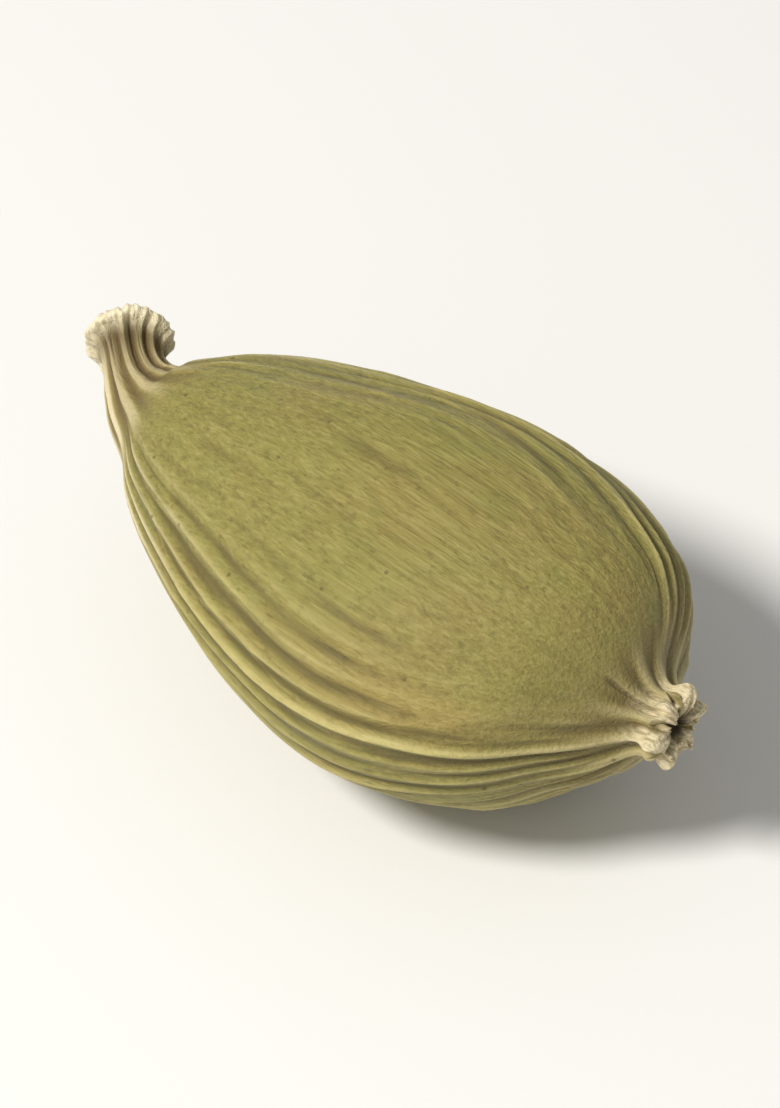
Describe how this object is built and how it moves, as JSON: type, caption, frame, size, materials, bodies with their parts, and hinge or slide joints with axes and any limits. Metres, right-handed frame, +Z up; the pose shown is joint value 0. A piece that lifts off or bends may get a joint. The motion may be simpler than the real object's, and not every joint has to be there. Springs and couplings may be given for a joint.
{
  "type": "green cardamom pod",
  "caption": "Dried three-sided green cardamom pod with lengthwise ribs, a bent hollow stalk stub and a puckered flower end, lying on its side; a whole spice for display or cooking scenes.",
  "frame": {"origin": "middle of the pod's bounding box, on the surface that the pod lies on", "axes": "+X along the pod from the snapped stalk to the withered flower end, +Z up, +Y to the side that completes a right-handed frame"},
  "size_m": [0.02, 0.01, 0.0091],
  "materials": {
    "husk": "matte, papery and finely fibrous dried plant husk"
  },
  "bodies": {
    "root": {"pod": "husk"}
  },
  "joints": []
}
